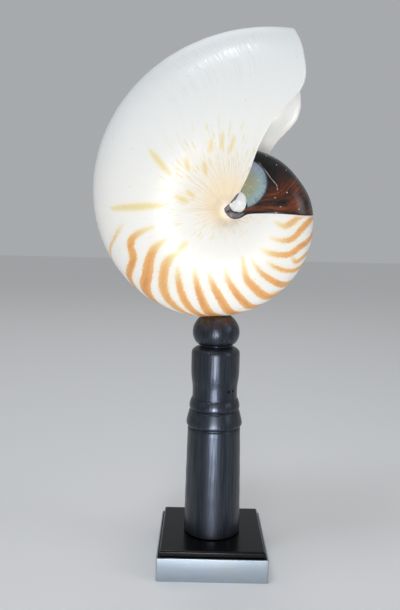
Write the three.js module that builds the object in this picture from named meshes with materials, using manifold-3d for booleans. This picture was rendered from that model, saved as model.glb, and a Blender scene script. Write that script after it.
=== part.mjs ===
// A whole nautilus shell mounted on a turned, ebonised column that stands on a square two-tier plinth.
// Millimetres, +Z up. The origin is the middle of the plinth's underside, and -Y is the front.
import * as THREE from 'three';
import { mergeVertices } from 'three/addons/utils/BufferGeometryUtils.js';
import Module from 'manifold-3d';

const wasm = await Module();
wasm.setup();

// ---- driving dimensions ----------------------------------------------------------------------

const fitGap = 0.3;               // clearance between pieces that touch

// The shell's keel runs on a spiral that tightens as it goes back from the lip.
const keelRadius = 98.1;          // from the coiling axis to the keel at the lip; its flats cut 0.2 inside
const tightening = 0.16;          // share of the radius lost per radian
const ovalness = 0.012;           // slight swelling and shrinking, twice a turn
const whorlStep = 0.028;          // share of its radius by which the whorl in the mouth stands lower
const whorlStepFrom = 305;        // degrees back between which it comes down
const whorlStepTo = 328;
const lipDirection = 62;          // degrees, from the front-right horizontal up to the lip
const shellTurn = -6.9;           // degrees about the vertical: the mouth turns to the front
const shellCentre = [5.3, 0, 187.1];

// Half the tube's section from the keel to the navel: distance out from the coiling axis and
// sideways from the middle plane, as shares of the keel's radius, and how many degrees the lip
// stands back there.
const sectionKnots = [
  [1.0, 0.0, 11.8],
  [0.985, 0.115, 9.9],
  [0.93, 0.225, 7.6],
  [0.81, 0.32, 2.3],
  [0.64, 0.375, -3.8],
  [0.46, 0.385, -0.2],
  [0.3, 0.35, -0.1],
  [0.17, 0.28, -4.6],
  [0.08, 0.2, -7.4],
  [0.03, 0.14, -11],
];
const sectionSteps = 11;          // flats round half the section
const coilStep = 7;               // degrees between sections
const lipRings = 4;               // sections over which the lip's waves die out

const wallThickness = 1.6;
const chamberInnerEdge = 0.86;    // how far round the section the open chamber reaches
const chamberDepth = 118;         // degrees from the lip to the rim of the last septum
const septumBulge = 14;           // degrees that the septum bows back behind its rim
const navelRadius = 1.2;          // least distance of any whorl from the coiling axis
const plugHalfLength = 3.3;
const callusRadii = [5.4, 4.8, 4.6];
const callusAt = [2.2, 9, 5.6];   // from the coiling axis, outwards on either side

// The plinth: a black block in a silver band, with a black slab on top.
const bandSide = 57;
const bandThickness = 0.7;
const bandHeight = 12.2;
const blockSide = bandSide - 2 * (bandThickness + fitGap);
const blockHeight = 12.3;
const slabSide = 54;
const slabBottom = blockHeight + fitGap;
const slabTop = 15.6;
const slabChamfer = 0.8;

// The column, as one spindle: each stretch is a smooth curve of [radius, height].
const spigotRadius = 6;
const spigotBottom = 5;
const columnBottom = slabTop + fitGap;
const columnSides = 32;
const shaftBottomRadius = 15.2;
const shaftTop = [14, 72.6];
const lowerBeadCurve = [[13.6, 73.5], [14.8, 74.9], [14.7, 76.8], [14.1, 79.8], [13.4, 82.1]];
const upperBeadCurve = [[12.6, 82.7], [13.5, 84.1], [13.3, 85.9], [12.6, 88.4]];
const waistCurve = [[12.1, 89], [11.9, 91.5], [12, 95.5], [12.6, 99.6], [12.85, 103.5]];
const shoulderCurve = [[12.85, 112.8], [12.5, 114.4], [11, 115.8], [8.8, 117.2]];
const bulbCurve = [[8.8, 117.6], [10.7, 118.9], [12, 121.4], [12.4, 124.4], [11.9, 127.6],
  [10.2, 130.6], [8, 132.7], [5, 134.2]];
const bulbTop = 134.6;            // before the seat is cut into it

// ---- materials -------------------------------------------------------------------------------

const shellMaterial = new THREE.MeshStandardMaterial({ color: 0xe9e6dc, roughness: 0.3 });
const ebonisedMaterial = new THREE.MeshStandardMaterial({ color: 0x15161a, roughness: 0.35 });
const lacquerMaterial = new THREE.MeshStandardMaterial({ color: 0x0b0b0d, roughness: 0.2 });
const silverMaterial = new THREE.MeshStandardMaterial({ color: 0xb0bcc8, roughness: 0.35, metalness: 1 });

// ---- solids ----------------------------------------------------------------------------------

const radians = THREE.MathUtils.degToRad;

function toSolid(geometry) {
  const bare = geometry.clone();
  bare.deleteAttribute('normal');
  bare.deleteAttribute('uv');
  const merged = mergeVertices(bare, 1e-4);
  const mesh = new wasm.Mesh({
    numProp: 3,
    vertProperties: new Float32Array(merged.attributes.position.array),
    triVerts: new Uint32Array(merged.index.array),
  });
  return new wasm.Manifold(mesh);
}

function toGeometry(solid) {
  const mesh = solid.getMesh();
  const geometry = new THREE.BufferGeometry();
  geometry.setAttribute('position', new THREE.BufferAttribute(mesh.vertProperties, 3));
  geometry.setIndex(new THREE.BufferAttribute(mesh.triVerts, 1));
  geometry.computeVertexNormals();
  return geometry;
}

// Profiles run from the bottom up. A square piece is one of [half side, height] turned in four steps.
function squarePiece(profile) {
  const corners = profile.map(([halfSide, height]) => new THREE.Vector2(halfSide * Math.SQRT2, height));
  return standUp(new THREE.LatheGeometry(corners, 4)).rotateZ(Math.PI / 4);
}

function roundPiece(profile, sides) {
  const outline = profile.map(([radius, height]) => new THREE.Vector2(radius, height));
  return standUp(new THREE.LatheGeometry(outline, sides));
}

function standUp(geometry) {
  return geometry.rotateX(Math.PI / 2);
}

function smooth(points, steps = 2) {
  const curve = new THREE.SplineCurve(points.map(([x, y]) => new THREE.Vector2(x, y)));
  return curve.getPoints(steps * (points.length - 1)).map((point) => [point.x, point.y]);
}

// ---- the shell -------------------------------------------------------------------------------

const mirroredKnots = [...sectionKnots.slice(1).reverse().map(([out, side, back]) => [out, -side, back]),
  ...sectionKnots];
const sectionCurve = new THREE.SplineCurve(mirroredKnots.map(([out, side]) => new THREE.Vector2(out, side)));
const lipCurve = new THREE.SplineCurve(mirroredKnots.map(([, , back], i) => new THREE.Vector2(i, back)));

// The keel's distance from the coiling axis, at an angle back from the lip.
function radiusAt(back) {
  const angle = radians(back);
  const spiral = keelRadius * Math.exp(-tightening * angle - ovalness * Math.sin(2 * angle));
  return spiral * (1 - whorlStep * THREE.MathUtils.smoothstep(back, whorlStepFrom, whorlStepTo));
}

// place runs from -1 at the near navel, through 0 at the keel, to 1 at the far navel.
function sectionAt(place, inset = 0) {
  const share = (place + 1) / 2;
  const point = sectionCurve.getPoint(share);
  const tangent = sectionCurve.getTangent(share);
  const outward = new THREE.Vector2(tangent.y, -tangent.x);
  return (back) => {
    const radius = radiusAt(back);
    return [point.x * radius - outward.x * inset, point.y * radius - outward.y * inset];
  };
}

function lipBack(place) {
  return lipCurve.getPoint((place + 1) / 2).y;
}

function pointAt(out, side, back) {
  const angle = radians(lipDirection + back);
  return [out * Math.cos(angle), side, out * Math.sin(angle)];
}

// Joins rings of points, all with the same count, into one closed body with a fan over each end.
function closedBody(rings, firstMiddle, lastMiddle) {
  const count = rings[0].length;
  const positions = [...rings.flat(), firstMiddle, lastMiddle];
  const first = positions.length - 2;
  const last = positions.length - 1;
  const lastRing = (rings.length - 1) * count;
  const triangles = [];
  for (let j = 0; j < count; j++) {
    const next = (j + 1) % count;
    triangles.push([first, next, j], [last, lastRing + j, lastRing + next]);
    for (let i = 0; i < rings.length - 1; i++) {
      const a = i * count + j;
      const b = i * count + next;
      triangles.push([a, b, b + count], [a, b + count, a + count]);
    }
  }
  const geometry = new THREE.BufferGeometry();
  geometry.setAttribute('position', new THREE.Float32BufferAttribute(positions.flat(), 3));
  geometry.setIndex(triangles.flat());
  return geometry;
}

// A stretch of the whole tube, solid as far in as the navel's bore, between two angles back.
function tubeStretch(from, to, { swell = 0, followLip = false } = {}) {
  const places = Array.from({ length: 2 * sectionSteps + 1 }, (_, j) => j / sectionSteps - 1);
  const outline = places.map((place) => sectionAt(place, -swell));
  const starts = places.map((place) => (followLip ? lipBack(place) : from));
  const steps = Math.round((to - from) / coilStep);
  const rings = [];
  for (let i = 0; i <= steps; i++) {
    const lipShare = Math.max(0, 1 - i / lipRings);
    const backs = starts.map((start) => from + coilStep * i + (start - from) * lipShare);
    rings.push(outline.map((section, j) => {
      const [out, side] = section(backs[j]);
      return pointAt(Math.max(out, navelRadius), side, backs[j]);
    }));
  }
  const middleOf = (back) => pointAt(0.5 * radiusAt(back), 0, back);
  return toSolid(closedBody(rings, middleOf(from), middleOf(to)));
}

// The open body chamber, a wall's thickness inside the tube, with a bowl-shaped back.
function chamber() {
  const count = 2 * sectionSteps - 2;
  const places = Array.from({ length: count + 1 }, (_, j) => chamberInnerEdge * ((2 * j) / count - 1));
  const outline = places.map((place) => sectionAt(place, wallThickness));
  const mouth = -36;
  const steps = Math.round((chamberDepth - mouth) / coilStep);
  const rings = [];
  for (let i = 0; i <= steps; i++) {
    const back = mouth + ((chamberDepth - mouth) * i) / steps;
    rings.push(outline.map((section) => pointAt(...section(back), back)));
  }
  const middle = 0.55;
  for (const bend of [22, 44, 64, 80]) {
    const back = chamberDepth + septumBulge * Math.sin(radians(bend));
    const shrink = Math.cos(radians(bend));
    rings.push(outline.map((section) => {
      const [out, side] = section(back);
      const centre = middle * radiusAt(back);
      return pointAt(centre + (out - centre) * shrink, side * shrink, back);
    }));
  }
  const end = chamberDepth + septumBulge;
  return toSolid(closedBody(rings, pointAt(middle * radiusAt(mouth), 0, mouth),
    pointAt(middle * radiusAt(end), 0, end)));
}

function callus(sign) {
  const ball = new THREE.SphereGeometry(1, 16, 10).scale(...callusRadii);
  return toSolid(ball.translate(callusAt[0], sign * callusAt[1], callusAt[2]));
}

// Closes the bore along the coiling axis, which leaves a small pit at each navel.
function navelPlug() {
  return toSolid(new THREE.CylinderGeometry(2.4 * navelRadius, 2.4 * navelRadius, 2 * plugHalfLength, 16));
}

function nautilusShell() {
  const outerHalf = tubeStretch(7, 133, { followLip: true }).add(tubeStretch(126, 259));
  const openHalf = outerHalf.subtract(chamber());
  const innerWhorl = tubeStretch(252, 385).add(tubeStretch(378, 504));
  return toGeometry(openHalf.add(innerWhorl).add(navelPlug()).add(callus(-1)).add(callus(1)));
}

function placeShell(object) {
  object.rotation.z = radians(shellTurn);
  object.position.set(...shellCentre);
  object.updateMatrix();
  return object;
}

// ---- the stand -------------------------------------------------------------------------------

function turnedColumn() {
  const profile = [[0, spigotBottom], [spigotRadius, spigotBottom], [spigotRadius, columnBottom],
    [shaftBottomRadius, columnBottom], shaftTop, ...smooth(lowerBeadCurve), ...smooth(upperBeadCurve),
    ...smooth(waistCurve), ...smooth(shoulderCurve), ...smooth(bulbCurve), [0, bulbTop]];
  const spindle = toSolid(roundPiece(profile, columnSides));
  const seat = placeShell(new THREE.Object3D());
  const shellAbove = toGeometry(tubeStretch(180, 240, { swell: fitGap })).applyMatrix4(seat.matrix);
  return toGeometry(spindle.subtract(toSolid(shellAbove)));
}

function spigotHole(bottom, top) {
  const radius = spigotRadius + fitGap;
  return toSolid(roundPiece([[0, bottom], [radius, bottom], [radius, top], [0, top]], columnSides));
}

function plinthTop() {
  const halfSide = slabSide / 2;
  const slab = squarePiece([[0, slabBottom], [halfSide, slabBottom], [halfSide, slabTop - slabChamfer],
    [halfSide - slabChamfer, slabTop], [0, slabTop]]);
  return toGeometry(toSolid(slab).subtract(spigotHole(slabBottom - 1, slabTop + 1)));
}

function plinthBlock() {
  const halfSide = blockSide / 2;
  const block = squarePiece([[0, 0], [halfSide, 0], [halfSide, blockHeight], [0, blockHeight]]);
  return toGeometry(toSolid(block).subtract(spigotHole(spigotBottom - fitGap, blockHeight + 1)));
}

function plinthBand() {
  const outside = bandSide / 2;
  const inside = outside - bandThickness;
  return squarePiece([[inside, 0], [outside, 0], [outside, bandHeight], [inside, bandHeight], [inside, 0]]);
}

// ---- the whole object ------------------------------------------------------------------------

function piece(name, geometry, material) {
  const mesh = new THREE.Mesh(geometry, material);
  mesh.name = name;
  return mesh;
}

const mountedNautilus = new THREE.Group();
mountedNautilus.add(
  placeShell(piece('nautilus_shell', nautilusShell(), shellMaterial)),
  piece('turned_column', turnedColumn(), ebonisedMaterial),
  piece('plinth_top', plinthTop(), lacquerMaterial),
  piece('plinth_block', plinthBlock(), lacquerMaterial),
  piece('plinth_band', plinthBand(), silverMaterial),
);

export default mountedNautilus;
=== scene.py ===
from functools import partial
from math import pi, radians

import bpy
import numpy as np
from mathutils import Matrix, Vector


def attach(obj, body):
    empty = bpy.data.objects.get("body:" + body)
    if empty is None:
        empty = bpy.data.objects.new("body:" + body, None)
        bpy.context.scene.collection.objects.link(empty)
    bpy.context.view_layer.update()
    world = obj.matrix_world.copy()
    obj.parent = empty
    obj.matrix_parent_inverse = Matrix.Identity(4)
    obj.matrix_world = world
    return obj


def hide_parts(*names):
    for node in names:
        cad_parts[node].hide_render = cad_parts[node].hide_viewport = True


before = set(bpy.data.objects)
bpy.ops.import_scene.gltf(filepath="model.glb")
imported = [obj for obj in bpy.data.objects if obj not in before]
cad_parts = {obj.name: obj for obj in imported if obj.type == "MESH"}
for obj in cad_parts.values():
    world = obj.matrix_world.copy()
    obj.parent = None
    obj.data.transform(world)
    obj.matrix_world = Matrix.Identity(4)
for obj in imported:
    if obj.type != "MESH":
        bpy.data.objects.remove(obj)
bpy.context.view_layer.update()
mm = 0.001


def smoothStep(low, high, value):
    # 0 below low, 1 above high, and an S-curve between
    t = np.clip((value - low) / (high - low), 0, 1)
    return t * t * (3 - 2 * t)


def throughKnots(knots, share):
    # Uniform Catmull-Rom: each span is the cubic through its two knots, sloped by the knots beyond.
    knots = np.asarray(knots, float)
    last = len(knots) - 1
    along = np.clip(share, 0, 1) * last
    span = np.minimum(along.astype(int), last - 1)
    w = (along - span)[..., None]
    a, b, c, d = (knots[np.clip(span + k, 0, last)] for k in (-1, 0, 1, 2))
    return 0.5 * (2 * b + (c - a) * w + (2 * a - 5 * b + 4 * c - d) * w ** 2
                  + (3 * b - a - 3 * c + d) * w ** 3)


def ripple(x, y, seed):
    # A calm, repeatable unevenness from -1 to 1: a few sine waves of x and y at odd angles.
    rng = np.random.default_rng(seed)
    total = 0
    for k in range(6):
        turn, phase, pitch = rng.uniform(0, 2 * pi), rng.uniform(0, 2 * pi), rng.uniform(0.6, 1.9)
        total = total + np.sin(pitch * (x * np.cos(turn) + y * np.sin(turn)) + phase)
    return total / 3.2


def gridFaces(rows, columns):
    # Quads between neighbouring rows of a grid whose columns close on themselves.
    i = np.arange(rows - 1)[:, None]
    j = np.arange(columns)[None, :]
    k = (j + 1) % columns
    a, b = i * columns + j, i * columns + k
    return np.stack([a, b, b + columns, a + columns], -1).reshape(-1, 4)


def fanFaces(ring, pole, flip=False):
    # Triangles from a ring of points to the point that closes it.
    after = np.roll(ring, -1)
    fan = np.stack([ring, after, np.full_like(ring, pole)], -1)
    return fan[:, ::-1] if flip else fan


def closedFaces(rows, columns):
    # A grid's quads and a fan to a pole at each end. The two poles follow the grid's points.
    ring = np.arange(columns)
    return [gridFaces(rows, columns), fanFaces(ring, rows * columns, flip=True),
            fanFaces(ring + (rows - 1) * columns, rows * columns + 1)]


def makePiece(name, points, faces, materials, faceSlots=None, attributes=None):
    # points are in millimetres, and faces is a list of index arrays
    mesh = bpy.data.meshes.new(name)
    mesh.from_pydata((np.asarray(points) * mm).tolist(), [], [f for part in faces for f in part.tolist()])
    for material in materials:
        mesh.materials.append(material)
    if faceSlots is not None:
        mesh.polygons.foreach_set("material_index", np.asarray(faceSlots, np.int32))
    for key, values in (attributes or {}).items():
        kind, field = ("FLOAT_VECTOR", "vector") if np.ndim(values) == 2 else ("FLOAT", "value")
        mesh.attributes.new(key, kind, "POINT").data.foreach_set(
            field, np.asarray(values, np.float32).ravel())
    mesh.polygons.foreach_set("use_smooth", np.ones(len(mesh.polygons), bool))
    mesh.update()
    piece = bpy.data.objects.new(name, mesh)
    bpy.context.scene.collection.objects.link(piece)
    return piece


def linear(code):
    # "#rrggbb" as linear red, green, blue and alpha
    srgb = np.array([int(code[k:k + 2], 16) for k in (1, 3, 5)]) / 255
    return (*np.where(srgb <= 0.04045, srgb / 12.92, ((srgb + 0.055) / 1.055) ** 2.4), 1.0)


# The kinds of node that the materials use. Each has its type, the sockets that its values go to in turn,
# the output that it gives, and its settings.
nodeKinds = {
    "plus": ("Math", (0, 1), 0, {"operation": "ADD"}),
    "minus": ("Math", (0, 1), 0, {"operation": "SUBTRACT"}),
    "times": ("Math", (0, 1), 0, {"operation": "MULTIPLY"}),
    "greater": ("Math", (0, 1), 0, {"operation": "MAXIMUM"}),
    "absolute": ("Math", (0,), 0, {"operation": "ABSOLUTE"}),
    "distance": ("VectorMath", (0, 1), "Value", {"operation": "DISTANCE"}),
    # 0 at From Min and 1 at From Max: an S-curve between them, or a straight line to other limits
    "step": ("MapRange", ("Value", "From Min", "From Max"), "Result",
             {"interpolation_type": "SMOOTHSTEP"}),
    "line": ("MapRange", ("Value", "From Min", "From Max", "To Min", "To Max"), "Result", {}),
    "mix": ("Mix", (0, 6, 7), 2, {"data_type": "RGBA"}),
    "mixNumbers": ("Mix", (0, 2, 3), 0, {}),
    "ramp": ("ValToRGB", ("Fac",), "Color", {}),
    "stretch": ("Mapping", ("Vector", "Scale"), "Vector", {}),
    "noise": ("TexNoise", ("Vector", "Scale", "Detail", "Roughness"), "Fac", {}),
    "cells": ("TexVoronoi", ("Vector", "Scale"), "Distance", {"voronoi_dimensions": "2D"}),
    "number": ("Attribute", (), "Fac", {}),
    "vector": ("Attribute", (), "Vector", {}),
    "place": ("TexCoord", (), "Object", {}),
    "y": ("SeparateXYZ", (0,), "Y", {}),
    "z": ("SeparateXYZ", (0,), "Z", {}),
    "red": ("SeparateColor", (0,), "Red", {}),
    "bump": ("Bump", ("Strength", "Distance", "Height"), "Normal", {}),
    "shader": ("BsdfPrincipled", (), "BSDF", {}),
    "surface": ("OutputMaterial", ("Surface",), None, {}),
}


def addNode(tree, kind, *values, inputs=None, stops=(), **settings):
    # Adds a node and gives its output. A value is a number, a colour or another node's output, and inputs
    # names its sockets. Values past the kind's last socket go through more nodes of the kind, from the
    # left. Stops of (share, colour) fill a colour ramp.
    typeName, sockets, output, usual = nodeKinds[kind]
    if len(values) > len(sockets):
        values = addNode(tree, kind, *values[:-1]), values[-1]
    node = tree.nodes.new("ShaderNode" + typeName)
    for key, value in {**usual, **settings}.items():
        setattr(node, key, value)
    for key, value in [*zip(sockets, values), *(inputs or {}).items()]:
        if isinstance(value, bpy.types.NodeSocket):
            tree.links.new(value, node.inputs[key])
        elif isinstance(value, str):
            node.inputs[key].default_value = linear(value)
        else:
            node.inputs[key].default_value = value
    if stops:
        elements = node.color_ramp.elements
        while len(elements) < len(stops):
            elements.new(0.5)
        for element, (share, code) in zip(elements, stops):
            element.position, element.color = share, linear(code)
    return None if output is None else node.outputs[output]


def newMaterial(name):
    # Gives an empty material, and the function that adds nodes to it.
    material = bpy.data.materials.new(name)
    material.use_nodes = True
    material.node_tree.nodes.clear()
    return material, partial(addNode, material.node_tree)


cameraSpec = {
    "place": (-8.9, -330.4, 171.3),  # mm
    "pitch": -5.7,                   # degrees up from level
    "roll": 1.2,
    "lens": 24.67,                   # mm, on a sensor 24 mm high
}


def makeCamera(spec):
    data = bpy.data.cameras.new("viewCamera")
    data.sensor_fit, data.sensor_height, data.lens = "VERTICAL", 24, spec["lens"]
    data.clip_start, data.clip_end = 0.01, 50
    camera = bpy.data.objects.new("viewCamera", data)
    pitched = Matrix.Rotation(radians(90 + spec["pitch"]), 4, "X")
    rolled = Matrix.Rotation(radians(spec["roll"]), 4, "Z")
    camera.matrix_world = Matrix.Translation([v * mm for v in spec["place"]]) @ (pitched @ rolled)
    bpy.context.scene.collection.objects.link(camera)
    bpy.context.scene.camera = camera


lightSpec = {
    # name: place and aim in mm, width and height in mm, spread in degrees, power in watts, colour
    "keyLight": ((-25, -640, 66), (0, 0, 160), (110, 110), 60, 0.24, "#fffaf2"),
    "topSoftbox": ((-190, -180, 800), (0, -28, 257), (80, 300), 180, 0.85, "#eef4ff"),
    "standSoftbox": ((-14, -300, 36), (0, 0, 60), (260, 50), 36, 0.068, "#eef3ff"),
    "leftSoftbox": ((-700, -350, 480), (0, 0, 180), (400, 400), 120, 0.12, "#f6f8ff"),
    "rightSoftbox": ((650, -280, 420), (0, 0, 200), (300, 400), 120, 0.30, "#f6f8ff"),
    "backSoftbox": ((-200, 700, 1300), (0, 0, 150), (700, 500), 180, 1.8, "#ffffff"),
}


def makeLights(spec):
    for name, (place, aim, (width, height), spread, power, code) in spec.items():
        data = bpy.data.lights.new(name, "AREA")
        data.shape, data.size, data.size_y = "RECTANGLE", width * mm, height * mm
        data.spread, data.energy, data.color = radians(spread), power, linear(code)[:3]
        lamp = bpy.data.objects.new(name, data)
        start, end = Vector(place) * mm, Vector(aim) * mm
        turned = (end - start).to_track_quat("-Z", "Y").to_matrix().to_4x4()
        lamp.matrix_world = Matrix.Translation(start) @ turned
        lamp.visible_camera = False
        bpy.context.scene.collection.objects.link(lamp)


studioSpec = {"floorColour": "#f2f2f2", "airColour": "#e4e7ea", "airStrength": 0.50, "floorHalf": 6000}


def makeStudio(spec):
    # A plain pale floor and pale air all round it.
    half = spec["floorHalf"]
    material, add = newMaterial("paleFloor")
    add("surface", add("shader", inputs={"Base Color": spec["floorColour"], "Roughness": 0.85}))
    corners = [(-half, -half, 0), (half, -half, 0), (half, half, 0), (-half, half, 0)]
    floor = makePiece("paleFloor", corners, [np.array([[0, 1, 2, 3]])], [material])
    world = bpy.data.worlds.new("paleAir")
    world.use_nodes = True
    backdrop = world.node_tree.nodes["Background"]
    backdrop.inputs["Color"].default_value = linear(spec["airColour"])
    backdrop.inputs["Strength"].default_value = spec["airStrength"]
    bpy.context.scene.world = world
    bpy.context.scene.view_settings.view_transform = "Standard"


makeCamera(cameraSpec)
makeLights(lightSpec)
makeStudio(studioSpec)
print("camera, lights and floor are set")


shellSpec = {
    "keelRadius": 97.8,        # from the coiling axis to the keel, at the lip
    "tightening": 0.16,        # share of the radius lost per radian
    "ovalness": 0.012,
    # the whorl in the mouth stands lower by this share, and drops to it between these turns
    "whorlStep": (0.028, 305, 328),
    "lipDirection": 62,        # degrees up from the front right to the lip
    "turn": -6.9,              # degrees about the vertical
    "centre": (5.3, 0, 187.1),
    # from the keel to the navel: out, side (shares of the keel's radius) and the lip's setback in degrees
    "section": [(1.0, 0.0, 11.8), (0.985, 0.115, 9.9), (0.93, 0.225, 7.6), (0.81, 0.32, 2.3),
                (0.64, 0.375, -3.8), (0.46, 0.385, -0.2), (0.3, 0.35, -0.1), (0.17, 0.28, -4.6),
                (0.08, 0.2, -7.4), (0.03, 0.14, -11)],
    "lipReach": 28,            # degrees over which the lip's waves die out
    "wall": 1.5,
    "lipWall": 0.8,
    "chamberDepth": 118,       # degrees from the lip to the last septum
    "septumBulge": 14,
    "navelLevel": (12.0, 9.3), # how far sideways the navel's floor stands, at the lip and a turn back
    "navelReach": (2.0, 8.0),  # from the axis: all floor within the first, all whorl past the second
    "girth": 1.28,             # the section's length from keel to navel, as a share of the keel's radius
    "lastTurn": 504,           # degrees back from the lip where the model's inner whorl ends
    "bore": 0.4,               # radius of the hole left along the axis
    "swellHeight": 0.05,
}

halfSection = np.array(shellSpec["section"])
wholeSection = np.vstack([(halfSection[1:] * [1, -1, 1])[::-1], halfSection])


def keelAt(back):
    # keel radius = lip radius times e to the power of minus tightening times angle, made slightly oval
    angle = np.radians(back)
    spiral = shellSpec["keelRadius"] * np.exp(-shellSpec["tightening"] * angle
                                              - shellSpec["ovalness"] * np.sin(2 * angle))
    drop, start, end = shellSpec["whorlStep"]
    return spiral * (1 - drop * smoothStep(start, end, back))


def lipSetback(place):
    # Degrees that the lip lies back at a place round the tube, on a smooth curve through the section's.
    return throughKnots(wholeSection[:, 2:], (place + 1) / 2)[..., 0]


def sectionPoint(place, back, inset=0.0):
    # Out and side in mm at a place round the tube, moved in by inset along the section's normal.
    step = 0.004
    here = throughKnots(wholeSection[:, :2], (place + 1) / 2)
    ahead = throughKnots(wholeSection[:, :2], (np.minimum(place + step, 1) + 1) / 2)
    behind = throughKnots(wholeSection[:, :2], (np.maximum(place - step, -1) + 1) / 2)
    along = ahead - behind
    along /= np.linalg.norm(along, axis=-1, keepdims=True)
    radius = keelAt(back)
    return here[..., 0] * radius - along[..., 1] * inset, here[..., 1] * radius + along[..., 0] * inset


def coilPoint(out, side, back):
    # Turns the section about the coiling axis by the angle back from the lip.
    angle = np.radians(shellSpec["lipDirection"] + back)
    return np.stack(np.broadcast_arrays(out * np.cos(angle), side, out * np.sin(angle)), -1)


def placeShell(points):
    # Turns points about the vertical and moves the coiling axis to its height.
    angle = radians(shellSpec["turn"])
    turn = np.array([[np.cos(angle), -np.sin(angle), 0], [np.sin(angle), np.cos(angle), 0], [0, 0, 1]])
    return points @ turn.T + shellSpec["centre"]


def navelFloor(out, side, back):
    # Near the axis every whorl eases to one shallow floor, which ramps gently down as it goes back.
    low, high = shellSpec["navelReach"]
    atLip, aTurnBack = shellSpec["navelLevel"]
    level = atLip + (aTurnBack - atLip) * back / 360
    share = 1 - smoothStep(low, high, out)
    return np.sign(side) * (np.abs(side) * (1 - share) + np.minimum(level, np.abs(side) + 4) * share)


def gridNormals(points):
    # Crossed differences of neighbouring rows and columns.
    downRows = np.gradient(points, axis=0)
    roundRing = np.roll(points, -1, axis=1) - np.roll(points, 1, axis=1)
    normal = np.cross(roundRing, downRows)
    return normal / np.maximum(np.linalg.norm(normal, axis=-1, keepdims=True), 1e-9)


# Stripes run from an inner tip to the keel: [turn in degrees, place in hundredths] points, half-width in
# mm at the tip and at the keel, and how brown.
stripeSpec = [
    ([(127, -38), (133, -30), (139, -18), (150, 0)], 0.6, 1.1, 0.7),
    ([(132, -51), (134, -43), (138, -38), (147, -34), (153, -21), (166, 0)], 1.3, 2.4, 1.0),
    ([(145, -53), (147, -47), (152, -41), (158, -34), (162, -25), (177, 0)], 1.5, 3.8, 1.0),
    ([(161, -53), (160, -47), (167, -37), (173, -29), (183, -18), (194, 0)], 1.9, 2.6, 0.9),
    ([(169, -47), (175, -41), (182, -33), (192, -19), (203, 0)], 1.0, 3.0, 1.0),
    ([(181, -50), (187, -43), (194, -33), (201, -17), (211, 0)], 0.9, 3.7, 1.0),
    ([(194, -49), (199, -43), (206, -33), (213, -14), (221, 0)], 0.9, 3.7, 1.0),
    ([(208, -51), (212, -43), (218, -32), (225, -12), (232, 0)], 0.9, 3.4, 1.0),
    ([(229, -54), (226, -43), (230, -33), (236, -15), (244, 0)], 1.3, 3.0, 1.0),
    ([(237, -49), (239, -40), (243, -30), (251, -5), (254, 0)], 0.9, 2.9, 1.0),
    ([(248, -42), (252, -33), (259, -17), (266, 0)], 0.8, 1.8, 1.0),
    ([(252, -50), (256, -44), (265, -33), (274, -26), (283, -11), (289, 0)], 1.1, 2.1, 1.0),
    ([(264, -30), (263, -24), (268, -17), (276, 0)], 1.0, 1.7, 0.9),
    ([(268, -49), (271, -42), (277, -35), (286, -29), (293, -19), (300, 0)], 0.9, 2.2, 1.0),
    ([(286, -49), (284, -43), (290, -37), (295, -31), (302, -12), (306, 0)], 1.2, 1.5, 0.8),
    ([(170, -17), (177, -10), (184, 0)], 0.5, 1.3, 1.0),
    ([(180, -27), (187, -14), (198, 0)], 0.4, 1.0, 1.0),
    ([(238, -22), (243, -11), (249, 0)], 0.4, 1.0, 1.0),
]

# Lone flecks higher up the flank: points as above, greatest half-width in mm, and how brown.
fleckSpec = [
    ([(118, -34), (117, -46), (115, -58)], 1.6, 0.0),
    ([(81, -48), (83, -53), (86, -59)], 1.3, 0.0),
    ([(66, -61), (72, -65)], 1.1, 0.1),
    ([(40, -61), (43, -65)], 0.9, 0.05),
    ([(104, -64), (106, -70)], 1.2, 0.05),
    ([(53, -67), (57, -72)], 1.0, 0.2),
    ([(21, -62), (23, -67)], 0.7, 0.1),
    ([(30, -60), (32, -65)], 0.7, 0.1),
    ([(95, -73), (94, -69)], 0.9, 0.1),
    ([(158, -60), (160, -54)], 1.2, 0.0),
]


farAway = 9.0  # mm: distances to a marking are cut off here


def strokeDepth(back, place, out, radius):
    # Signed distance in mm into the nearest stripe or fleck, and how brown it is. Each is a smooth line
    # with a girth that widens towards the keel, or that swells and dies away on a fleck. The far side's
    # strokes are the near side's, a little shifted.
    inside = np.full(back.shape, -farAway)
    tone = np.zeros(back.shape)
    arcScale = shellSpec["girth"] * radius
    strokes = [(path, tip, keel, brown) for path, tip, keel, brown in stripeSpec]
    strokes += [(path, None, width, brown) for path, width, brown in fleckSpec]
    for mirrored in (False, True):
        for index, (path, tip, keel, brown) in enumerate(strokes):
            knots = np.array(path, float)
            knots[:, 1] /= 100
            if mirrored:
                knots[:, 1] *= -(1 + 0.1 * np.sin(2.4 * index + 1))
                knots[:, 0] += 5 * np.sin(1.7 * index) * knots[:, 1]
            steps = 14
            line = throughKnots(knots, np.linspace(0, 1, steps + 1))
            for k in range(steps):
                start, end = line[k], line[k + 1]
                across = (back - start[0]) * radians(1) * out
                along = (place - start[1]) * arcScale
                edgeAcross = (end[0] - start[0]) * radians(1) * out
                edgeAlong = (end[1] - start[1]) * arcScale
                share = np.clip((across * edgeAcross + along * edgeAlong)
                                / np.maximum(edgeAcross ** 2 + edgeAlong ** 2, 1e-9), 0, 1)
                far = np.hypot(across - share * edgeAcross, along - share * edgeAlong)
                course = (k + share) / steps
                if tip is None:
                    girth = keel * (0.2 + 0.8 * np.sin(pi * np.clip(course, 0.02, 0.98)) ** 0.7)
                else:
                    girth = (tip + (keel - tip) * course ** 1.5) * np.minimum(1, 0.3 + 4 * course)
                depth = girth - far
                tone = np.where(depth > inside, brown * smoothStep(0.0, 0.36, course), tone)
                inside = np.maximum(inside, depth)
    return np.clip(inside, -farAway, farAway), tone


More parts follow.
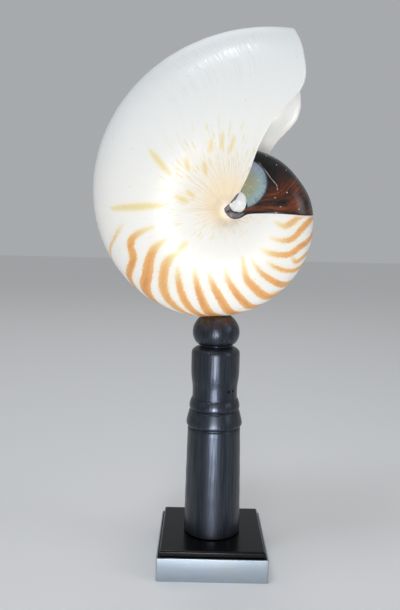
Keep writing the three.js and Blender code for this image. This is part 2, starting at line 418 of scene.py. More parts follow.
# The black film that lies on the whorl in the mouth. Places are across and up from the coiling axis, in mm.
filmSpec = {
    "thickness": 0.25,
    "edgeHeight": -1.1,        # of the level line where it starts
    "edgeWave": 0.45,
    "turns": (225, 380),       # no film before the first, and all film past the second
    "disc": (4.2, 2.3, 6.0),   # the crescent's centre and radius
    "lipLine": (-1.6, 1.6, 0.91),  # a point on the line that cuts the crescent off, and the line's slope
    "ease": 0.9,               # how gently the crescent joins the rest
    "crackTurns": (321, 326, 335, 342, 351, 357),
    "crackPlaces": (-0.42, -0.40, -0.40, -0.385, -0.36, -0.33),
    "pearl": (7.2, 13.8, 12.9),  # centre and radius of the worn, pearly patch
    "pearlTurns": (285, 420),
}

# The peach fan round the navel: its middle, how far it reaches at least and how much further towards a
# bearing, and the turn where it ends.
fanSpec = {"middle": (1, 0.5), "reach": 12, "further": 22, "bearing": 110, "lastTurn": 292}


def filmDepth(x, z, back, place, wave):
    # Signed distance in mm inside the black film: past its starting line, smoothly joined to the crescent
    # that it forms round the navel, which is a disc cut off by the lip.
    firstTurn, lastTurn = filmSpec["turns"]
    aboveEdge = z - filmSpec["edgeHeight"] + filmSpec["edgeWave"] * wave
    pastEdge = np.where(back > firstTurn, aboveEdge, -farAway)
    pastEdge = np.where(back > lastTurn, farAway, pastEdge)
    discX, discZ, discRadius = filmSpec["disc"]
    disc = discRadius - np.hypot(x - discX, z - discZ)
    lineX, lineZ, slope = filmSpec["lipLine"]
    underLip = (lineZ + slope * (x - lineX) - z) / np.hypot(1, slope)
    crescent = np.where(np.abs(place) > 0.6, np.minimum(disc, underLip), -farAway)
    ease = filmSpec["ease"]
    joined = ease * np.logaddexp(pastEdge / ease, crescent / ease)
    return np.where(crescent > -4, joined, pastEdge), crescent


def pearlPlace(x, z, back):
    # Round the pearly patch's rim in mm, and in from its rim in mm.
    centreX, centreZ, radius = filmSpec["pearl"]
    firstTurn, lastTurn = filmSpec["pearlTurns"]
    inwards = radius - np.hypot(x - centreX, z - centreZ)
    inwards = np.where((back > firstTurn) & (back < lastTurn), inwards, -farAway)
    return np.stack([np.arctan2(z - centreZ, x - centreX) * radius, inwards, 0 * inwards], -1)


def crackOffset(back, place, radius):
    # Signed distance in mm to a fine crack that wanders down the film on the near side.
    turns, places = filmSpec["crackTurns"], filmSpec["crackPlaces"]
    inReach = (back > turns[0]) & (back < turns[-1]) & (place < 0)
    offset = (place - np.interp(back, turns, places)) * shellSpec["girth"] * radius
    return np.where(inReach, offset, farAway)


def fanField(x, z, back):
    # 1 at the fan's middle, 0 at its uneven end, and how far away the middle is in mm.
    middleX, middleZ = fanSpec["middle"]
    far = np.hypot(x - middleX, z - middleZ)
    bearing = np.arctan2(z - middleZ, x - middleX) - radians(fanSpec["bearing"])
    reach = fanSpec["reach"] + fanSpec["further"] * np.clip(0.5 + 0.5 * np.cos(bearing), 0, 1) ** 1.2
    return np.where(back < fanSpec["lastTurn"], 1 - far / reach, -1), far


def buildShell(materials):
    # Rows are turns back from the lip, and columns are places round the tube. Each row is the section
    # scaled by the keel's radius and turned about the coiling axis.
    spec = shellSpec
    capSteps = 5
    places = np.linspace(-1, 1, 147)
    towardsAxis = np.linspace(0, 1, capSteps + 1)[1:]
    place = np.concatenate([np.full(capSteps, -1.0), places, np.full(capSteps, 1.0)])
    capShare = np.concatenate([towardsAxis[::-1], np.zeros(len(places)), towardsAxis])
    columns = len(place)
    bore = spec["bore"]

    def ringsAt(turns):
        # Where each row lies: the lip's waves die out over the first part of the shell.
        share = np.clip(1 - turns / spec["lipReach"], 0, 1)
        return turns[:, None] + lipSetback(place)[None, :] * share[:, None]

    # rows lie closest where the film starts and at the lip
    outerTurns = np.concatenate([np.arange(spec["lastTurn"], 400, -4), np.arange(400, 304, -1.25),
                                 np.arange(304, 290, -0.4), np.arange(290, 3, -1.0),
                                 np.linspace(3, 0, 7)])
    back = ringsAt(outerTurns)
    placeGrid = np.broadcast_to(place, back.shape)
    out, side = sectionPoint(placeGrid, back)
    out = np.maximum(out, bore) * (1 - capShare) + bore * capShare
    side = navelFloor(out, side, back)
    outer = coilPoint(out, side, back)

    # fields that the shell's materials read
    radius = keelAt(back)
    wave = ripple(placeGrid * 9, back * 0.02, 5)
    x, z = outer[..., 0], outer[..., 2]
    film, crescent = filmDepth(x, z, back, placeGrid, wave)
    stripe, tone = strokeDepth(back, placeGrid, out, radius)
    crack = crackOffset(back, placeGrid, radius)
    pearl = pearlPlace(x, z, back)
    fan, farFromNavel = fanField(x, z, back)
    everyDegree = np.arange(-40, 540)
    keelLength = np.cumsum(radians(1) * keelAt(everyDegree))
    growthArc = np.interp(back - 0.8 * lipSetback(placeGrid), everyDegree, keelLength)
    growth = np.stack([growthArc, placeGrid * spec["girth"] * radius, farFromNavel], -1)

    # the film stands proud of the whorl that it lies on, and growth leaves faint swells
    lift = filmSpec["thickness"] * smoothStep(-0.1, 0.5, film) * (back > 200)
    swells = spec["swellHeight"] * ripple(growthArc * 0.32, placeGrid * 2, 11)
    swells = swells * (1 - smoothStep(0.75, 0.95, np.abs(placeGrid)))
    normal = gridNormals(outer)
    towardsOut = np.sign(np.sum(normal[:, columns // 2] * coilPoint(1, 0, back[:, columns // 2]), -1))
    normal = normal * np.median(towardsOut)
    highest = 0.02
    move = (lift + np.minimum(swells, highest) - highest) * (1 - capShare)
    outer = outer + normal * move[..., None]

    # the lining: a wall's thickness in, then a bowl-shaped septum
    innerTurns = np.concatenate([np.linspace(0, 4, 5), np.arange(6, spec["chamberDepth"] + 1, 2.0)])
    innerBack = ringsAt(innerTurns)
    wall = spec["lipWall"] + (spec["wall"] - spec["lipWall"]) * smoothStep(0, 9, innerTurns)[:, None]
    edge = 0.975
    innerPlace = np.broadcast_to(place * edge, innerBack.shape)
    innerOut, innerSide = sectionPoint(innerPlace, innerBack, wall)
    pinch = 1 - 0.92 * capShare
    innerSide = innerSide * pinch
    lining = coilPoint(innerOut, innerSide, innerBack)

    bends = np.radians([15, 30, 45, 60, 72, 82])
    bowlBack = spec["chamberDepth"] + spec["septumBulge"] * np.sin(bends)[:, None] + 0 * place[None, :]
    bowlOut, bowlSide = sectionPoint(np.broadcast_to(place * edge, bowlBack.shape), bowlBack, spec["wall"])
    bowlSide = bowlSide * pinch
    bowlMiddle = 0.55
    centre = bowlMiddle * keelAt(bowlBack)
    shrink = np.cos(bends)[:, None]
    bowl = coilPoint(centre + (bowlOut - centre) * shrink, bowlSide * shrink, bowlBack)

    # the lip's rounded edge joins the last outer row to the first row of the lining
    lipOuter, lipInner = outer[-1], lining[0]
    ahead = outer[-1] - outer[-3]
    ahead /= np.maximum(np.linalg.norm(ahead, axis=-1, keepdims=True), 1e-9)
    half = (lipOuter - lipInner) / 2
    girth = np.minimum(np.linalg.norm(half, axis=-1, keepdims=True), 0.5)
    rim = np.stack([(lipOuter + lipInner) / 2 + half * np.cos(a) + ahead * girth * np.sin(a)
                    for a in np.radians([30, 60, 90, 120, 150])])

    stack = np.concatenate([outer, rim, lining, bowl])
    rows = len(stack)
    firstPole = spec["lastTurn"] + 2
    lastPole = spec["chamberDepth"] + spec["septumBulge"]
    poles = np.array([coilPoint(0.5 * keelAt(firstPole), 0, firstPole),
                      coilPoint(bowlMiddle * keelAt(lastPole), 0, lastPole)])
    points = placeShell(np.concatenate([stack.reshape(-1, 3), poles]))
    faces = closedFaces(rows, columns)
    slots = np.zeros(len(faces[0]), int)
    slots[(len(outer) + 2) * columns:] = 1
    slots = np.concatenate([slots, np.zeros(columns, int), np.ones(columns, int)])

    def spread(values, rest):
        # An outer row's field, held at the lip's value round the rim, and rest on the lining.
        held = np.repeat(values[-1:], len(rim), 0)
        inner = np.full((rows - len(outer) - len(rim),) + values.shape[1:], rest, float)
        flat = np.concatenate([values, held, inner]).reshape(-1, *values.shape[2:])
        return np.concatenate([flat, np.full((2,) + flat.shape[1:], rest, float)])

    liningBack = np.concatenate([innerBack, bowlBack])
    liningGrowth = np.stack([np.interp(liningBack, everyDegree, keelLength),
                             place * spec["girth"] * keelAt(liningBack), 0 * liningBack], -1)
    allGrowth = spread(growth, 0)
    startLining = (len(outer) + len(rim)) * columns
    allGrowth[startLining:startLining + liningGrowth[..., 0].size] = liningGrowth.reshape(-1, 3)
    turnField = spread(back, 0)
    turnField[startLining:startLining + liningBack.size] = liningBack.ravel()
    attributes = {"stripe": spread(stripe, -farAway), "tone": spread(tone, 0),
                  "film": spread(film, -farAway), "crescent": spread(crescent, -farAway),
                  "pearl": spread(pearl, -farAway), "fan": spread(fan, -1),
                  "crack": spread(crack, farAway), "place": spread(placeGrid, 0),
                  "turn": turnField, "growth": allGrowth}

    # the callus: a smooth knob on each side of the navel, with a ridge towards the mouth
    knobPoints, knobFaces = [], []
    offset = len(points)
    for sign in (-1, 1):
        knob, knobFace = callusKnob(sign)
        knobPoints.append(placeShell(knob))
        knobFaces += [f + offset for f in knobFace]
        offset += len(knob)
    knobPoints = np.concatenate(knobPoints)
    points = np.concatenate([points, knobPoints])
    slots = np.concatenate([slots, np.full(sum(len(f) for f in knobFaces), 2)])
    for key, values in attributes.items():
        rest = np.zeros((len(knobPoints),) + values.shape[1:])
        attributes[key] = np.concatenate([values, rest])
    shell = makePiece("nautilusShell", points, faces + knobFaces, materials, slots, attributes)
    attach(shell, "root")
    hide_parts("nautilus_shell")
    return shell


callusSpec = {
    "place": (6.0, 10.4, 5.1),     # from the coiling axis: across, outwards and up
    "radii": (6.0, 4.4, 5.5),
    "lean": 22,
}


def callusKnob(sign):
    # A ball drawn out along a lean, swollen on its upper side: radius = 1 + small waves of its two angles.
    turns, bands = 40, 26
    u = np.linspace(0, 2 * pi, turns, endpoint=False)[None, :]
    v = np.linspace(0, pi, bands + 2)[1:-1, None]
    swell = 1 + 0.05 * np.sin(2 * u + 0.6) * np.sin(v) + 0.04 * np.cos(3 * v + u)
    ball = np.stack([swell * np.sin(v) * np.cos(u), swell * np.sin(v) * np.sin(u),
                     swell * np.cos(v) + 0 * u], -1)
    poles = np.array([[0, 0, swell[0].mean()], [0, 0, -swell[-1].mean()]])
    points = np.concatenate([ball.reshape(-1, 3), poles]) * callusSpec["radii"]
    angle = radians(callusSpec["lean"])
    lean = np.array([[np.cos(angle), 0, np.sin(angle)], [0, 1, 0], [-np.sin(angle), 0, np.cos(angle)]])
    points = points @ lean.T
    points[:, 1] *= -sign
    across, outwards, up = callusSpec["place"]
    points = points + [across, sign * outwards, up]
    faces = closedFaces(bands, turns)
    if sign > 0:
        faces = [f[:, ::-1] for f in faces]
    return points, faces


def makePorcelain():
    # Outer layer of a nautilus shell: aragonite, grown in fine lines. It looks like white porcelain with a
    # soft gloss, and has rust-coloured stripes and a peach fan at the navel.
    material, add = newMaterial("shellPorcelain")
    field = {key: add("number", attribute_name=key) for key in
             ("stripe", "tone", "film", "crescent", "fan", "turn", "crack", "place")}
    growth, pearlField = (add("vector", attribute_name=key) for key in ("growth", "pearl"))

    def overHalf(value, share):
        # How far a noise is from its middle, times a share.
        return add("times", add("minus", value, 0.5), share)

    objectPlace = add("place")
    height = add("z", objectPlace)
    fan = field["fan"]
    # growth lines about 0.9 mm apart at the keel, coarser pauses in growth about 6 mm apart
    fineLines = add("noise", add("stretch", growth, (1.1, 0.03, 0)), 1, 3)
    pauses = add("noise", add("stretch", growth, (0.17, 0.05, 0)), 1, 2)
    clouds = add("noise", objectPlace, 22, 3)
    mottle = add("noise", add("stretch", growth, (1.3, 0.8, 0)), 1, 4)

    base = add("mix", clouds, "#eef0f0", "#f5f3ee")
    # painted shade: above this height the white is painted cooler and greyer, as the shell's top is less
    # lit
    base = add("mix", add("step", height, 0.16, 0.26), base, "#eaeeef")
    base = add("mix", add("times", add("step", fineLines, 0.4, 0.75), 0.14), base, "#dfe1de")
    base = add("mix", add("times", add("step", pauses, 0.5, 0.8), 0.10), base, "#dfdfd6")

    # the peach fan round the navel: streaks 1 to 2 mm wide that end unevenly, yellow flecks past their
    # ends, brown hairlines near the middle, and a pinkish white core
    streaks = add("noise", add("stretch", growth, (0.30, 0.012, 0)), 1, 4, 0.6)
    streakShare = add("step", add("plus", streaks, overHalf(fan, 0.95)), 0.42, 0.66)
    deepStreaks = add("noise", add("stretch", growth, (0.36, 0.012, 0)), 1, 3, 0.6)
    deeper = add("times", add("step", deepStreaks, 0.44, 0.66), add("step", fan, 0.12, 0.45))
    spots = add("noise", add("stretch", growth, (0.34, 0.14, 0)), 1, 2)
    flecks = add("times", add("step", spots, 0.54, 0.70), add("step", fan, -0.35, -0.05),
                 add("step", fan, 0.6, 0.3))
    hairlines = add("noise", add("stretch", growth, (1.5, 0.008, 0)), 1, 2)
    hairs = add("times", add("step", hairlines, 0.60, 0.70), add("step", fan, 0.1, 0.5), 0.7)
    colour = add("mix", add("times", add("step", fan, -0.1, 0.8), 0.5), base, "#fbf3e2")
    colour = add("mix", add("times", streakShare, 0.85), colour, "#f8e9cc")
    colour = add("mix", add("times", deeper, 0.6), colour, "#f0d6a8")
    colour = add("mix", add("times", flecks, 0.75), colour, "#e8da9a")
    colour = add("mix", hairs, colour, "#b08c66")
    colour = add("mix", add("times", add("step", fan, 0.76, 0.97), 0.7), colour, "#fbf0ea")

    # the stripes, with edges frayed along the growth lines
    frayed = add("plus", field["stripe"], overHalf(mottle, 2.0))
    frayed = add("plus", frayed, overHalf(fineLines, 0.9))
    halo = add("step", frayed, -1.5, 0.1)
    # yellow tips and flecks have soft edges, brown stripes crisp ones
    inside = add("mixNumbers", field["tone"], add("step", frayed, -0.9, 1.3),
                 add("step", frayed, -0.35, 0.4))
    core = add("step", frayed, 0.4, 2.4)
    rust = add("mix", add("times", core, 0.85), "#e9b06c", "#da9650")
    rust = add("mix", add("times", add("step", fineLines, 0.5, 0.72), 0.3), rust, "#e8b577")
    rustClouds = add("noise", add("stretch", growth, (0.25, 0.1, 0)), 1, 2)
    rust = add("mix", add("times", add("step", rustClouds, 0.5, 0.7), 0.4), rust, "#c98142")
    stripeTint = add("mix", field["tone"], "#e6d690", rust)
    colour = add("mix", add("times", halo, 0.4), colour, "#f3dfae")
    cover = add("times", inside, add("plus", add("times", field["tone"], 0.2), 0.76))
    colour = add("mix", cover, colour, stripeTint)

    # a few dark specks, well under a millimetre across
    cells = add("cells", growth, 0.15)
    lone = add("red", cells.node.outputs["Color"])
    speck = add("times", add("step", cells, 0.045, 0.02), add("step", lone, 0.86, 0.88))
    colour = add("mix", add("times", speck, 0.6), colour, "#6d6658")

    # the pearly patch where the film has worn off: olive grey in its middle, then green, then a blue rim
    # with fine radial ticks, lavender at the top
    depth = add("y", pearlField)
    unevenness = add("noise", add("stretch", pearlField, (0.25, 0.25, 0)), 1, 4)
    wavering = add("plus", depth, overHalf(unevenness, 5.0))
    pearl = add("ramp", add("step", wavering, 0, 12.5), stops=[
        (0.0, "#76909c"), (0.16, "#93acb4"), (0.40, "#98a79d"), (0.68, "#9c9f86"), (1.0, "#a19e84")])
    radial = add("noise", add("stretch", pearlField, (1.1, 0.1, 0)), 1, 2)
    ticks = add("times", add("step", radial, 0.5, 0.66), add("step", depth, 5.5, 1.5))
    pearl = add("mix", add("times", ticks, 0.4), pearl, "#b4c8d0")
    paleClouds = add("noise", add("stretch", pearlField, (0.5, 0.2, 0)), 1, 4)
    pearl = add("mix", add("times", add("step", paleClouds, 0.52, 0.7), 0.4), pearl, "#b4c4b8")
    pearl = add("mix", add("times", add("step", height, 0.2025, 0.210), 0.55), pearl, "#9d9fbd")

    # the film: a dried black organic layer, thin enough in patches near its edge to show rust-brown fibres
    fibres = add("noise", add("stretch", growth, (0.9, 0.06, 0)), 1, 4, 0.65)
    offKeel = add("step", add("absolute", field["place"]), 0.08, 0.26)
    patches = add("step", add("noise", add("stretch", growth, (0.16, 0.12, 0)), 1, 4), 0.34, 0.60)
    thin = add("times", add("step", field["turn"], 342, 308), add("step", field["turn"], 296, 301),
               patches, offKeel)
    brown = add("times", thin, add("plus", 0.22, add("times", add("step", fibres, 0.36, 0.72), 0.70)))
    filmTint = add("mix", brown, "#050404", "#8f451b")
    # partly painted highlight: the rust fibres are the film's own, and their palest streaks are painted
    # light tan as light catching them
    filmTint = add("mix", add("times", add("step", fibres, 0.6, 0.72), thin, 0.4), filmTint, "#bb7a48")
    crack = add("times", add("step", add("absolute", field["crack"]), 0.19, 0.06),
                add("step", mottle, 0.36, 0.5))
    filmTint = add("mix", add("times", crack, 0.75), filmTint, "#cfc6bf")
    # the crescent of film round the callus: mottle on the black film, painted grey and lavender as a
    # painted sheen
    band = add("times", add("step", field["crescent"], 0.25, 0.6), add("step", depth, -1.0, -2.6))
    sheenMottleTint = add("mix", add("step", mottle, 0.35, 0.65), "#54535c", "#8b8a97")
    filmTint = add("mix", band, filmTint, sheenMottleTint)
    # painted shade: near-black in the crevice beside the callus knob
    paintedCreviceShade = add("times", add("step", field["crescent"], 2.5, 3.1), band)
    filmTint = add("mix", paintedCreviceShade, filmTint, "#17130f")
    pearlShare = add("step", depth, -0.3, 0.5)
    filmTint = add("mix", add("times", pearlShare, add("step", field["crescent"], 0.5, -0.5)), filmTint,
                   add("mix", add("step", depth, 0.3, 1.4), "#2c2f33", pearl))
    # pale specks of dust on the film
    dust = add("times", add("step", cells, 0.065, 0.035), add("step", lone, 0.50, 0.52))
    filmTint = add("mix", add("times", dust, 0.8), filmTint, "#d8d0c6")
    filmShare = add("step", field["film"], -0.08, 0.12)
    # painted highlight: a pale lavender line along the foot of the film's edge, where its raised step
    # catches the light
    colour = add("mix", add("times", add("step", field["film"], -1.3, -0.5), 0.5), colour, "#ece8f4")
    colour = add("mix", filmShare, colour, filmTint)

    rough = add("line", clouds, 0, 1, 0.36, 0.46)
    # on the shoulder behind the lip the growth lines stand up most, and their tops are glossier
    shoulder = add("times", add("step", field["turn"], 8, 20), add("step", field["turn"], 80, 40),
                   add("step", field["place"], -0.20, -0.29), add("step", field["place"], -0.50, -0.40))
    rough = add("minus", rough, add("times", shoulder, add("step", fineLines, 0.45, 0.6), 0.24))
    rough = add("mix", filmShare, rough, add("plus", 0.14, add("times", fibres, 0.2)))
    relief = add("plus", add("times", fineLines, add("plus", add("times", shoulder, 1.5), 0.25)),
                 add("times", pauses, 0.8))
    relief = add("plus", relief, add("times", fibres, filmShare, 1.4))
    relief = add("minus", relief, add("times", crack, filmShare, 0.8))
    shader = add("shader", inputs={"Base Color": colour, "Roughness": rough, "IOR": 1.53,
                                   "Normal": add("bump", 0.8, 0.00009, relief)})
    add("surface", shader)
    return material


def makeLining():
    # The body chamber's inside: nacre, laid down in thin layers, white with faint pink, green and blue.
    material, add = newMaterial("chamberNacre")
    growth = add("vector", attribute_name="growth")
    bands = add("noise", add("stretch", growth, (0.12, 0.03, 0)), 1, 3)
    colour = add("ramp", bands, stops=[(0.3, "#f8f5ee"), (0.45, "#faf5f1"), (0.55, "#f3f7f5"),
                                       (0.7, "#f6f6fa")])
    fineLines = add("noise", add("stretch", growth, (0.8, 0.03, 0)), 1, 3)
    shader = add("shader", inputs={"Base Color": colour, "Roughness": 0.24, "IOR": 1.6,
                                   "Normal": add("bump", 0.5, 0.00008, fineLines)})
    add("surface", shader)
    return material


def makeCallus():
    # The callus: solid white enamel-like shell, with faint blue and cream clouds.
    material, add = newMaterial("callusEnamel")
    place = add("place")
    clouds = add("noise", place, 260, 3)
    colour = add("ramp", clouds, stops=[(0.35, "#d9dfe6"), (0.55, "#eef0ef"), (0.7, "#e9e0c8")])
    shader = add("shader", inputs={"Base Color": colour, "Roughness": 0.38, "IOR": 1.55,
                                   "Normal": add("bump", 0.4, 0.0002, clouds)})
    add("surface", shader)
    return material


shell = buildShell([makePorcelain(), makeLining(), makeCallus()])
print("nautilus shell:", len(shell.data.polygons), "faces")


columnSpec = {
    "bottom": 15.9,
    "sides": 128,
    "shaftBottom": 15.2,
    "shaftTop": (14.15, 72.4),
    "lowerBead": [(13.6, 73.5), (14.75, 74.7), (14.75, 76.6), (14.1, 79.8), (13.5, 82.0)],
    "upperBead": [(12.8, 82.7), (13.45, 83.9), (13.3, 85.9), (12.55, 88.3)],
    "waist": [(12.05, 88.9), (11.9, 91.5), (12.0, 95.5), (12.6, 99.6), (12.85, 103.5), (12.85, 112.8)],
    "shoulder": [(12.85, 112.8), (12.5, 114.4), (11.0, 115.8), (8.8, 117.0)],
    "bulb": [(8.8, 117.5), (10.7, 118.9), (12.0, 121.4), (12.4, 124.4), (11.9, 127.6), (10.2, 130.6),
             (8.0, 132.7), (5.0, 134.2)],
    "bulbTop": 134.6,
    "grooveDepth": 0.9,
    "seatGap": 0.3,
    "wander": 0.05,
    # degrees right of the front, height and radius
    "pits": [(36, 94.0, 0.55), (51, 94.1, 0.5), (-20, 44.0, 0.4)],
}


def curve(knots, steps):
    # Evenly shared points along the smooth curve through the knots.
    return throughKnots(knots, np.linspace(0, 1, steps))


def ringGrid(outline, profile):
    # A profile of [offset or radius, height] carried round an outline of centres and directions. Offsets
    # below zero draw a square's corner centres in, and its corners stay almost sharp.
    centres, directions = outline
    profile = np.asarray(profile)
    offset = profile[:, None, :1]
    drawnIn = 1 + np.minimum(offset, 0) / max(np.abs(centres).max(), 1)
    flat = np.maximum(offset, 0.02) * directions[None] + centres[None] * drawnIn
    return np.concatenate([flat, np.broadcast_to(profile[:, None, 1:], flat.shape[:2] + (1,))], -1)


def shellFloor(x, y):
    # Height of the shell's underside over a point: its keel's curve there, from the shell's own formula.
    turns, places = np.meshgrid(np.arange(185, 235, 0.5), np.linspace(-0.45, 0.45, 121), indexing="ij")
    out, side = sectionPoint(places, turns)
    under = placeShell(coilPoint(out, side, turns)).reshape(-1, 3)
    gap = np.hypot(x[..., None] - under[:, 0], y[..., None] - under[:, 1])
    nearest = np.argsort(gap, -1)[..., :4]
    weight = 1 / (np.take_along_axis(gap, nearest, -1) + 0.05)
    return (under[nearest, 2] * weight).sum(-1) / weight.sum(-1)


def buildColumn(material):
    # A profile of [radius, height] turned about the vertical. Its top follows the shell's underside.
    spec = columnSpec
    groove = spec["grooveDepth"]
    shaft = np.linspace([spec["shaftBottom"], spec["bottom"] + 0.6], spec["shaftTop"], 24)
    foot = [(0.02, spec["bottom"]), (spec["shaftBottom"] - 0.6, spec["bottom"]),
            (spec["shaftBottom"] - 0.15, spec["bottom"] + 0.15)]
    profile = np.concatenate([
        foot, shaft, [(14.0, 72.8), (13.5 - groove, 73.2)],
        curve(spec["lowerBead"], 20), [(13.1 - groove, 82.3)],
        curve(spec["upperBead"], 16), [(12.1 - groove * 0.6, 88.6)],
        curve(spec["waist"], 30)[:-1], curve(spec["shoulder"], 14), [(8.3, 117.25)],
        curve(spec["bulb"], 40),
        [(3.0, spec["bulbTop"] - 0.15), (1.5, spec["bulbTop"]), (0.02, spec["bulbTop"])]])
    angles = np.linspace(0, 2 * pi, spec["sides"], endpoint=False)
    circle = np.zeros((spec["sides"], 2)), np.stack([np.cos(angles), np.sin(angles)], -1)
    # the turning isn't perfect: the radius wanders a few hundredths of a millimetre along the height
    radius, height = profile[len(foot):].T
    radius += np.where(radius > 6, spec["wander"] * ripple(height * 0.35, height * 0.2, 3), 0)
    points = ringGrid(circle, profile)
    top = points[..., 2] > 130
    points[..., 2][top] = np.minimum(points[..., 2][top],
                                     shellFloor(points[..., 0][top], points[..., 1][top]) - spec["seatGap"])
    poles = [[0, 0, spec["bottom"]], [0, 0, points[-1, :, 2].mean()]]
    flat = np.concatenate([points.reshape(-1, 3), poles])
    column = makePiece("turnedColumn", flat, closedFaces(*points.shape[:2]), [material])
    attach(column, "root")
    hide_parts("turned_column")
    return column


def makeEbonised():
    # Hardwood turned on a lathe, stained black and waxed: long open pores, a satin gloss and a few pits.
    # The bulb's upper side is painted brown, a painted reflection of the rust-striped shell above it.
    material, add = newMaterial("ebonisedHardwood")
    place = add("place")
    # the pores are about 1 mm apart and 30 mm long
    pores = add("noise", add("stretch", place, (1, 1, 0.03)), 1000, 3, 0.6)
    figure = add("noise", add("stretch", place, (1, 1, 0.05)), 260, 3, 0.6)
    toolMarks = add("noise", add("stretch", place, (0.02, 0.02, 1)), 900, 2, 0.6)
    pit = 0.0
    surfaceRadius = 12.2
    for turned, height, radius in columnSpec["pits"]:
        angle = radians(turned - 90)
        across, inwards = surfaceRadius * np.cos(angle), surfaceRadius * np.sin(angle)
        centre = (across * mm, inwards * mm, height * mm)
        far = add("distance", place, centre)
        pit = add("greater", pit, add("step", far, 1.8 * radius * mm, radius * mm))
    colour = add("ramp", pores, stops=[(0.3, "#030304"), (0.52, "#0c0d0f"), (0.72, "#1d1f22")])
    colour = add("mix", add("times", add("step", figure, 0.5, 0.75), 0.4), colour, "#222427")
    # painted reflection: brown on the bulb's upper side, where it faces the shell's stripes
    bulbTop = add("step", add("z", place), 0.125, 0.132)
    colour = add("mix", add("times", bulbTop, add("step", figure, 0.3, 0.6)), colour, "#3b2a22")
    # painted shade: the pits are painted near-black, as the shade in their hollows
    colour = add("mix", pit, colour, "#030304")
    # open pores and pits are rougher and shine less
    rough = add("line", pores, 0.36, 0.60, 0.43, 0.28)
    shine = add("times", add("line", pores, 0.36, 0.60, 0.62, 0.95), add("minus", 1.0, pit))
    relief = add("plus", add("step", pores, 0.3, 0.55), add("times", toolMarks, 0.25))
    relief = add("minus", relief, add("times", pit, 4.0))
    # the lathe's fine rings draw the highlights out along the height
    shader = add("shader", inputs={"Base Color": colour, "Roughness": rough, "IOR": 1.5,
                                   "Specular IOR Level": shine, "Specular Tint": "#cfdcf5",
                                   "Anisotropic": 0.5, "Anisotropic Rotation": 0.25,
                                   "Normal": add("bump", 0.8, 0.000035, relief)})
    add("surface", shader)
    return material


column = buildColumn(makeEbonised())
print("turned column:", len(column.data.polygons), "faces")


plinthSpec = {
    "slabSide": 54, "slabBottom": 12.6, "slabTop": 15.6, "slabChamfer": 0.8, "slabCorner": 0.5,
    "blockSide": 55, "blockHeight": 12.3, "blockCorner": 0.35,
    "bandSide": 57, "bandHeight": 12.2, "bandThickness": 0.7, "bandCorner": 0.6,
}


def squareOutline(side, corner, perCorner=7):
    # Each corner is a quarter circle: its centre, and the directions round it.
    spread = np.linspace(0, pi / 2, perCorner)
    angles = np.concatenate([k * pi / 2 + spread for k in range(4)])
    middles = np.repeat(np.arange(4) * pi / 2 + pi / 4, perCorner)
    centres = (side / 2 - corner) * np.sqrt(2) * np.stack([np.cos(middles), np.sin(middles)], -1)
    return centres, np.stack([np.cos(angles), np.sin(angles)], -1)


def softEdge(offset, height, size, start, end):
    # A quarter-round of an edge as [offset, height] points, between two angles in degrees.
    a = np.radians(np.linspace(start, end, 5))
    return np.stack([offset + size * np.cos(a), height + size * np.sin(a)], -1)


def buildSlabLike(name, node, side, corner, profile, material):
    # A square plate: its rim profile round the outline, closed by a flat fan above and below.
    points = ringGrid(squareOutline(side, corner), profile)
    flat = np.concatenate([points.reshape(-1, 3), [[0, 0, profile[0][1]], [0, 0, profile[-1][1]]]])
    piece = makePiece(name, flat, closedFaces(*points.shape[:2]), [material])
    keepEdges(piece)
    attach(piece, "root")
    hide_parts(node)


def keepEdges(piece):
    # Flat faces stay flat and small rounds stay smooth.
    piece.data.set_sharp_from_angle(angle=radians(38))


def makeLacquer():
    # Wood sprayed with gloss black lacquer: deep black, with a faint orange-peel and fine dust.
    material, add = newMaterial("blackLacquer")
    place = add("place")
    peel = add("noise", place, 900, 2)
    dust = add("noise", place, 2600, 2)
    colour = add("ramp", dust, stops=[(0.4, "#050506"), (0.62, "#09090b"), (0.78, "#1d1e22")])
    shader = add("shader", inputs={"Base Color": colour,
                                   "Roughness": add("line", peel, 0, 1, 0.14, 0.3), "IOR": 1.5,
                                   "Specular IOR Level": 0.25,
                                   "Normal": add("bump", 0.35, 0.00005, peel)})
    add("surface", shader)
    return material


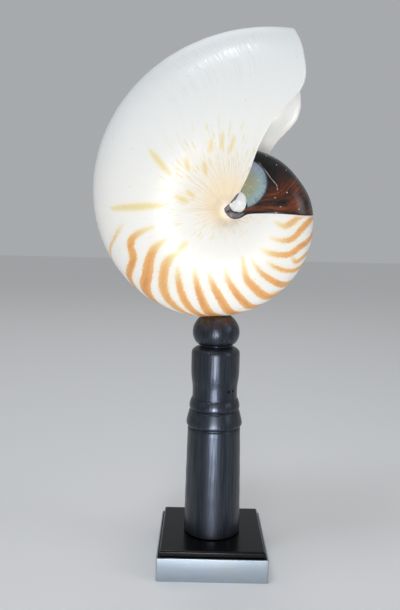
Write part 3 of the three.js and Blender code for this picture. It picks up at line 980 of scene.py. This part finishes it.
def makeSilver():
    # Thin silvered sheet, brushed along its length and lightly tarnished: pale blue-grey, satin.
    material, add = newMaterial("brushedSilver")
    place = add("place")
    # the brush's strokes are about 0.4 mm apart and 20 mm long
    brushing = add("noise", add("stretch", place, (0.02, 0.02, 1)), 2200, 3)
    tarnish = add("noise", place, 90, 3)
    colour = add("ramp", tarnish, stops=[(0.35, "#a0abb6"), (0.6, "#a5b0b9"), (0.8, "#a7acad")])
    shader = add("shader", inputs={"Base Color": colour,
                                   "Roughness": add("line", brushing, 0, 1, 0.3, 0.5),
                                   "Metallic": 1.0, "Normal": add("bump", 0.5, 0.00004, brushing)})
    add("surface", shader)
    return material


def buildPlinth():
    # Each plate is a rim profile of [offset, height] carried round a square with rounded corners.
    spec = plinthSpec
    lacquer, silver = makeLacquer(), makeSilver()
    corner, chamfer = spec["slabCorner"], spec["slabChamfer"]
    slabProfile = np.concatenate([
        [(corner - 0.9, spec["slabBottom"])], softEdge(corner - 0.2, spec["slabBottom"] + 0.2, 0.2, -90, 0),
        [(corner, spec["slabTop"] - chamfer - 0.15), (corner - 0.06, spec["slabTop"] - chamfer + 0.04),
         (corner - chamfer + 0.1, spec["slabTop"] - 0.1), (corner - chamfer - 0.1, spec["slabTop"] - 0.02),
         (corner - chamfer - 0.3, spec["slabTop"]), (corner - chamfer - 0.9, spec["slabTop"])]])
    buildSlabLike("plinthSlab", "plinth_top", spec["slabSide"], corner, slabProfile,
                  lacquer)
    corner = spec["blockCorner"]
    blockProfile = np.concatenate([[(corner - 0.9, 0)], softEdge(corner - 0.2, 0.2, 0.2, -90, 0),
                                   softEdge(corner - 0.25, spec["blockHeight"] - 0.25, 0.25, 0, 90),
                                   [(corner - 0.9, spec["blockHeight"])]])
    buildSlabLike("plinthBlock", "plinth_block", spec["blockSide"], corner, blockProfile,
                  lacquer)
    corner, height, thickness = spec["bandCorner"], spec["bandHeight"], spec["bandThickness"]
    bandProfile = np.concatenate([
        softEdge(corner - 0.15, 0.15, 0.15, -90, 0), softEdge(corner - 0.15, height - 0.15, 0.15, 0, 90),
        softEdge(corner - thickness + 0.1, height - 0.1, 0.1, 90, 180),
        softEdge(corner - thickness + 0.1, 0.1, 0.1, 180, 270)])
    points = ringGrid(squareOutline(spec["bandSide"], corner), bandProfile)
    rows, columns = points.shape[:2]
    # the last ring joins the first, because the band is hollow
    faces = gridFaces(rows + 1, columns) % (rows * columns)
    band = makePiece("plinthBand", points.reshape(-1, 3), [faces], [silver])
    keepEdges(band)
    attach(band, "root")
    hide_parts("plinth_band")


buildPlinth()
print("plinth: slab, block and band")
